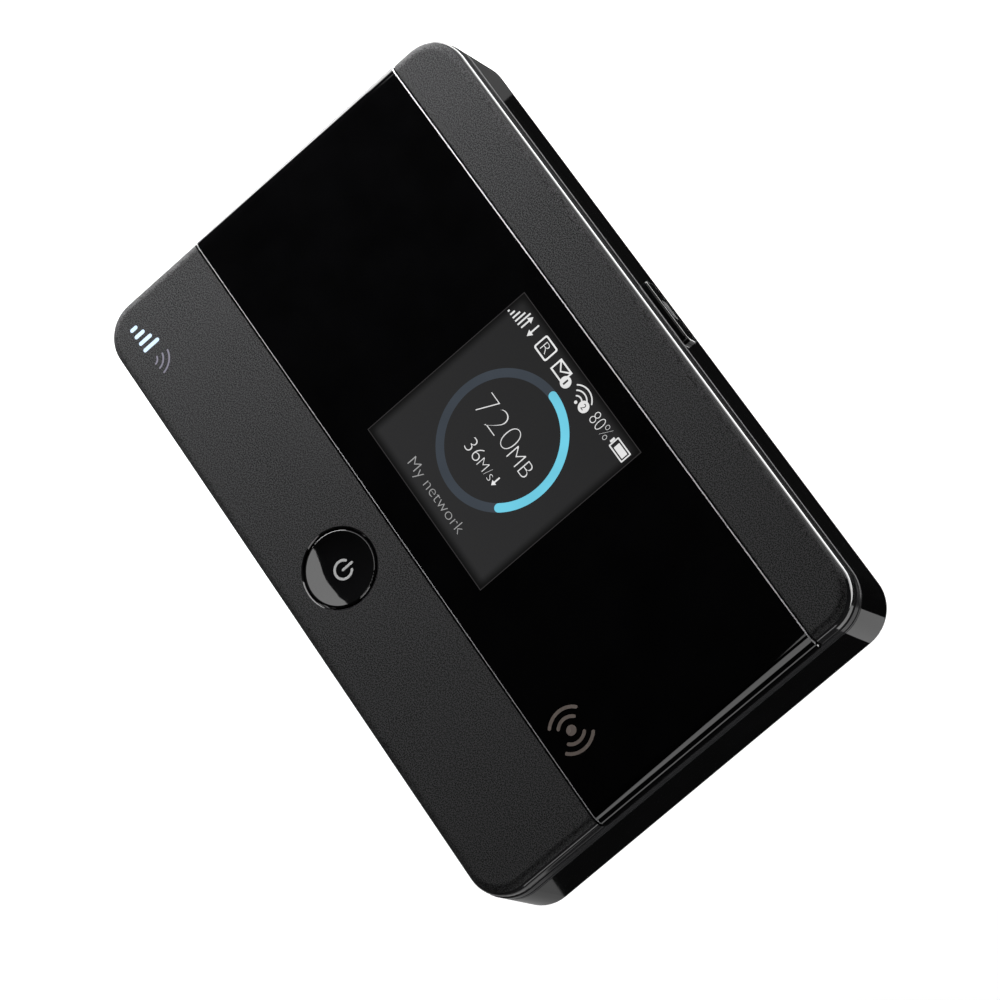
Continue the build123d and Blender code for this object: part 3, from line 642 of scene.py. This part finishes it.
def badge(name, x, number, half_wide):
    """A white disc with a dark number, half_wide to each side of its centre."""
    half_high = 0.45
    glyph(name + "_badge", [disc((x, BADGE_Y), 0.86)], layer=2)
    words(name + "_count", number, (x - half_wide, x + half_wide), (BADGE_Y - half_high, BADGE_Y + half_high),
          BORDER_LIT, weight=0.0, layer=3)


def wireless():
    """A dot under three waves."""
    centre = (2.8, STATUS_LOW + 0.2)
    glyph("wireless_dot", [disc(centre, 0.24)])
    for index, radius in enumerate((0.9, 1.65, 2.4)):
        glyph(f"wireless_arc_{index}", stroke(arc(centre, radius, 42, 138, 24), 0.2))
    badge("wireless", 4.1, "2", 0.27)


def battery_icon():
    """A battery lying on its side, with its end towards the charge level."""
    low, high = STATUS_LOW + 0.35, STATUS_HIGH - 0.35
    left, right = 10.75, 13.9
    line = 0.2
    outer = rectangle((left, right), (low, high), 0.15)
    inner = rectangle((left + line, right - line), (low + line, high - line))
    glyph("battery_outline", [outer, inner])
    glyph("battery_fill", [rectangle((11.5, 13.5), (low + 0.4, high - 0.4))])
    glyph("battery_nub", [rectangle((10.35, 10.7), (low + 0.5, high - 0.5))])


# ---- Marks on the case and the buttons, in millimetres ------------------------------------------------
MARK_T = 0.01


def power_symbol():
    """An open ring and a bar, laid in the power button's dish."""
    centre = middle(POWER_CAP)
    top = POWER_CAP[1].z / MM
    dish_radius = ((DISH_REACH - DISH_FLAT) ** 2 + DISH_DEPTH ** 2) / (2 * DISH_DEPTH)
    off_x, off_y = 0.3, 0.2                   # the symbol's centre, from the button's
    line = 0.37
    gap_from, gap_to = 128, 412               # the ring runs between these angles, in degrees

    def place(x, y, z):
        out = max(0.0, math.hypot(x + off_x, y + off_y) - DISH_FLAT)
        rise = dish_radius - math.sqrt(dish_radius ** 2 - out ** 2)
        return centre.x + off_x + x, centre.y + off_y + y, top - DISH_DEPTH + rise + MARK_T + z

    grey = ink("symbol_grey", (0.32, 0.32, 0.32))
    ring = flat_shape("power_ring", stroke(arc((0, 0), 1.33, gap_from, gap_to, 60), line), MARK_T * 2)
    settle(ring, place, grey, "power_button")
    bar = flat_shape("power_bar", stroke([(0, -0.05), (0, 1.6)], line), MARK_T * 2)
    settle(bar, place, grey, "power_button")


def menu_symbol():
    """Three short bars on the menu key's outer face."""
    centre = middle(MENU_KEY)
    outer = MENU_KEY[1].y / MM
    off_x = -0.3
    half_long = 1.5

    def place(x, y, z):
        return centre.x + off_x + x, outer + MARK_T / 2 + z, centre.z + y

    grey = ink("menu_grey", (0.10, 0.10, 0.10))
    for index, y in enumerate((-0.6, 0.0, 0.6)):
        bar = flat_shape(f"menu_bar_{index}", stroke([(-half_long, y), (half_long, y)], 0.2), MARK_T)
        settle(bar, place, grey, "menu_button")


def shell_mark():
    """A printed signal sign: four bold rising bars, then three thin waves."""
    def place(x, y, z):
        return x, y, FACE_Z + MARK_T / 2 + z

    bold = ink("mark_pale_blue", (0.40, 0.50, 0.64))
    thin = ink("mark_lilac", (0.125, 0.12, 0.15))
    base = -29.1
    foot = base + 0.3
    first_x, pitch = -48.8, 1.25
    for index in range(4):
        x = first_x + pitch * index
        line = stroke([(x, foot), (x, base + 1.0 + 0.55 * index)], 0.6)
        settle(flat_shape(f"signal_mark_{index}", line, MARK_T), place, bold, "case")
    for index in range(3):
        line = stroke(arc((-43.2, foot), 0.9 + 0.95 * index, 10, 80, 20), 0.26)
        settle(flat_shape(f"wave_mark_{index}", line, MARK_T), place, thin, "case")


def lens_mark():
    """A faint sign of a radio source, a dot between waves, printed on the lens."""
    at_x, at_y = 40.5, -9.4
    half_turn = 48                            # each wave's reach to both sides, in degrees

    def place(x, y, z):
        return at_x + x, at_y + y, LENS_Z + MARK_T / 2 + z

    bronze = ink("mark_bronze", (0.105, 0.085, 0.075), 0.25)
    dot = flat_shape("source_mark", [disc((0, 0), 0.75)], MARK_T)
    settle(dot, place, bronze, "case")
    for index, radius in enumerate((1.9, 3.2)):
        for side, turn in (("left", 180), ("right", 0)):
            line = stroke(arc((0, 0), radius, turn - half_turn, turn + half_turn, 30), 0.5)
            wave = flat_shape(f"source_wave_{side}_{index}", line, MARK_T)
            settle(wave, place, bronze, "case")


def battery_print():
    """Plus and minus signs by the terminals, a cell's outline and ruled lines, on the label."""
    low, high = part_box("battery_label")
    centre = middle((low, high))
    outer = low.z / MM

    def place(x, y, z):
        return centre.x + x, centre.y - y, outer - MARK_T / 2 - z

    black = ink("label_black", (0.03, 0.03, 0.032))
    bold = 0.7
    signs = {
        "plus_across": stroke([(-23.5, 10), (-20.5, 10)], bold),
        "plus_up": stroke([(-22, 8.5), (-22, 9.55)], bold),
        "plus_down": stroke([(-22, 10.45), (-22, 11.5)], bold),
        "minus": stroke([(-23.5, -10), (-20.5, -10)], bold),
        "cell_outline": [rectangle((-14, 12), (-4, 8), 1.2), rectangle((-13.4, 11.4), (-3.4, 7.4), 0.8)],
        "cell_nub": [rectangle((12.6, 14), (0, 4), 0.3)],
    }
    for name, outlines in signs.items():
        settle(flat_shape("label_" + name, outlines, MARK_T), place, black, "battery")
    for index in range(4):
        y = -8 - 2.2 * index
        line = stroke([(-14, y), (12 - 4 * index, y)], 0.5)
        settle(flat_shape(f"label_line_{index}", line, MARK_T), place, black, "battery")


display_panel()
gauge()
readings()
status_row()
power_symbol()
menu_symbol()
shell_mark()
lens_mark()
battery_print()


# ---- Stage, light and camera, in metres -----------------------------------------------------------------
FLOOR_SIZE = 6
FLOOR_CLEARANCE = 0.003                   # under the lowest place that a moving piece reaches
OVERHEAD_Z = 1.0
LEFT_BOX_X = -0.14
LEFT_SHEET_X = -0.45
LINE_SHEET_Z = -0.4
FAR = 0.60                                # of the cards past the +Y side and past the +X end
FILL_X = 0.45
UNDER_Z = -0.3                            # of the cards under the object


def lowest_reach():
    """How far below the case its moving pieces go."""
    drops = [-joint["axis"][2] * joint["range_m"][1] for joint in frame["record"]["behaviour"]["joints"]]
    return max(0.0, *drops)


def floor():
    """A pale floor, clear of the cover and battery when they drop out. Its own faint glow keeps
    it even, and the glossy sides don't mirror it."""
    height = cad_box[0].z - lowest_reach() - FLOOR_CLEARANCE
    bpy.ops.mesh.primitive_plane_add(size=FLOOR_SIZE, location=(0, 0, height))
    plane = bpy.context.object
    plane.name = "floor"
    g = Graph("floor_pale")
    g.set(Base_Color=g.mix(g.noise(40.0), (0.24, 0.24, 0.24, 1), (0.26, 0.26, 0.26, 1)), Roughness=0.9)
    g.set(Emission_Color=(1, 1, 1, 1), Emission_Strength=0.95)
    plane.data.materials.append(g.material)
    plane.visible_glossy = False
    plane.visible_shadow = False


def world():
    """White to the camera, and nearly black to everything else."""
    scene_world = bpy.data.worlds.new("studio")
    bpy.context.scene.world = scene_world
    scene_world.use_nodes = True
    nodes = scene_world.node_tree.nodes
    links = scene_world.node_tree.links
    path = nodes.new("ShaderNodeLightPath")
    tone = nodes.new("ShaderNodeMixRGB")
    links.new(path.outputs["Is Camera Ray"], tone.inputs[0])
    tone.inputs[1].default_value = (0.008, 0.008, 0.008, 1)
    tone.inputs[2].default_value = (1.0, 1.0, 1.0, 1)
    links.new(tone.outputs[0], nodes["Background"].inputs[0])


def card(name, middle_at, size, radiance, facing, glossy=True, diffuse=True):
    """A rectangular soft box of even brightness, hidden from the camera. It is size[0] wide and
    size[1] high, and shines towards the direction facing."""
    data = bpy.data.lights.new(name, "AREA")
    data.shape = "RECTANGLE"
    data.size, data.size_y = size
    data.energy = radiance * math.pi * size[0] * size[1]
    light = bpy.data.objects.new(name, data)
    light.location = middle_at
    light.rotation_mode = "QUATERNION"
    light.rotation_quaternion = (-Vector(facing)).to_track_quat("Z", "Y")
    light.visible_camera = False
    light.visible_glossy = glossy
    light.visible_diffuse = diffuse
    bpy.context.scene.collection.objects.link(light)


def spread(low, high):
    """Middle and length of a range."""
    return (low + high) / 2, high - low


def under_card(name, x, y, radiance):
    """A card lying under the object and shining up, over the given ranges, only to be mirrored."""
    mid_x, wide = spread(*x)
    mid_y, deep = spread(*y)
    card(name, (mid_x, mid_y, UNDER_Z), (wide, deep), radiance, (0, 0, 1), diffuse=False)


def standing_card(name, axis, at, across, z, radiance, **options):
    """A card standing across the X or Y axis and facing the object, over the given ranges."""
    mid, wide = spread(*across)
    mid_z, tall = spread(*z)
    toward = -1 if at > 0 else 1
    if axis == "X":
        card(name, (at, mid, mid_z), (wide, tall), radiance, (toward, 0, 0), **options)
    else:
        card(name, (mid, at, mid_z), (wide, tall), radiance, (0, toward, 0), **options)


def cut_card(name, corners, radiance, *mirrors):
    """A glowing sheet cut to an outline, there only for the glossy parts to mirror. Where CAD
    nodes are named, they alone mirror it, so that the flat lens doesn't turn pale at low angles."""
    mesh = bpy.data.meshes.new(name)
    mesh.from_pydata(corners, [], [tuple(range(len(corners)))])
    sheet = bpy.data.objects.new(name, mesh)
    bpy.context.scene.collection.objects.link(sheet)
    g = Graph(name)
    g.set(Base_Color=(0, 0, 0, 1), Specular_IOR_Level=0.0)
    g.set(Emission_Color=(1, 1, 1, 1), Emission_Strength=radiance)
    mesh.materials.append(g.material)
    sheet.visible_camera = False
    sheet.visible_diffuse = False
    sheet.visible_shadow = False
    if mirrors:
        receivers = bpy.data.collections.new(name + "_mirrors")
        for node in mirrors:
            receivers.objects.link(frame["nodes"][node])
        sheet.light_linking.receiver_collection = receivers


def overhead_light():
    """Its lower edge shows in the button's dish, and misses the flat lens in the main view."""
    outline = ((-1.10, -0.245), (-0.70, -0.161), (-0.17, -0.163), (0.05, -0.178), (0.05, 0.12), (-1.10, 0.12))
    cut_card("overhead", [(x, y, OVERHEAD_Z) for x, y in outline], 1.9)


def left_lights():
    # Two low boxes by the left end make the fall-off along the face.
    box_z = (0.025, 0.10)
    standing_card("left_near", "X", LEFT_BOX_X, (-0.10, -0.040), box_z, 28.0, glossy=False)
    standing_card("left_far", "X", LEFT_BOX_X, (0.008, 0.11), box_z, 39.0, glossy=False)
    # A low sheet makes the white line down the lens's roll.
    outline = ((0.10, 0.09), (-0.055, 0.09), (-0.055, 0.03), (-0.066, 0.02), (-0.108, -0.115),
               (-0.142, -0.24), (0.10, -0.24))
    cut_card("left_sheet", [(LEFT_SHEET_X, y, z) for y, z in outline], 6.0)
    # A sheet round and above it makes the bright arc on the power button.
    outline = ((0.10, 0.091), (0.10, 0.30), (-0.25, 0.30), (-0.25, 0.0), (-0.070, 0.021), (-0.056, 0.031),
               (-0.056, 0.091))
    cut_card("left_high", [(LEFT_SHEET_X, y, z) for y, z in outline], 9.0, "front_shell", "power_button_cap")


def side_lights():
    # White line along the shell's +Y roll, and the fainter tone under it.
    outline = ((-0.80, 0.175), (-0.08, 0.175), (-0.05, 0.215), (0.30, 0.215), (0.30, 0.80), (-0.80, 0.80))
    cut_card("side_line", [(x, y, LINE_SHEET_Z) for x, y in outline], 4.4)
    standing_card("side_glow", "Y", FAR, (-0.70, 0.05), (-0.17, -0.03), 1.3, diffuse=False)
    # Thin glints on the shell's bevels and on the mouth of the power button's hole.
    outline = ((-1.05, 0.02), (-0.42, 0.08), (-0.12, 0.09), (0.04, 0.15), (0.04, 0.36), (-0.12, 0.30),
               (-0.42, 0.28), (-1.05, 0.16))
    cut_card("bevel_band", [(x, FAR, z) for x, z in outline], 5.0, "front_shell")


def right_lights():
    # Grey wedge and thin line across the right end of the lens.
    outline = ((0.15, 0.29), (-0.225, 0.29), (-0.222, 0.62), (-0.240, 0.98), (-0.272, 1.36), (0.15, 1.36))
    cut_card("lens_wedge", [(FAR, y, z) for y, z in outline], 2.5)
    standing_card("lens_line", "X", FAR, (-0.25, 0.0), (-0.27, -0.14), 1.9, diffuse=False)
    # Soft fill for the matte face, out of the reflections.
    standing_card("right_fill", "X", FILL_X, (-0.30, 0.20), (-0.12, 0.12), 3.4, glossy=False)


def under_lights():
    """Mirrored by the corners of the glossy wall and by its lower edge."""
    under_card("corner_right", (0.10, 0.22), (-0.018, 0.122), 0.75)
    under_card("corner_near", (-0.10, 0.30), (-0.50, -0.116), 0.3)
    under_card("corner_left", (-0.50, -0.200), (0.05, 0.13), 0.14)
    under_card("lower_edge", (-0.20, 0.07), (-0.12, 0.04), 1.0)


def camera():
    heading = math.radians(CAMERA_HEADING)
    height = math.radians(CAMERA_HEIGHT)
    level = math.cos(height)
    back = Vector((math.cos(heading) * level, math.sin(heading) * level, math.sin(height)))
    roll = Quaternion((0, 0, 1), math.radians(CAMERA_ROLL))
    data = bpy.data.cameras.new("camera")
    data.lens = CAMERA_LENS
    data.sensor_width = CAMERA_SENSOR
    data.clip_start, data.clip_end = 0.01, 20
    made = bpy.data.objects.new("camera", data)
    made.location = AIM + back * CAMERA_DISTANCE
    made.rotation_mode = "QUATERNION"
    made.rotation_quaternion = back.to_track_quat("Z", "Y") @ roll
    bpy.context.scene.collection.objects.link(made)
    bpy.context.scene.camera = made


floor()
world()
overhead_light()
left_lights()
side_lights()
right_lights()
under_lights()
camera()
bpy.context.scene.view_settings.view_transform = "Standard"
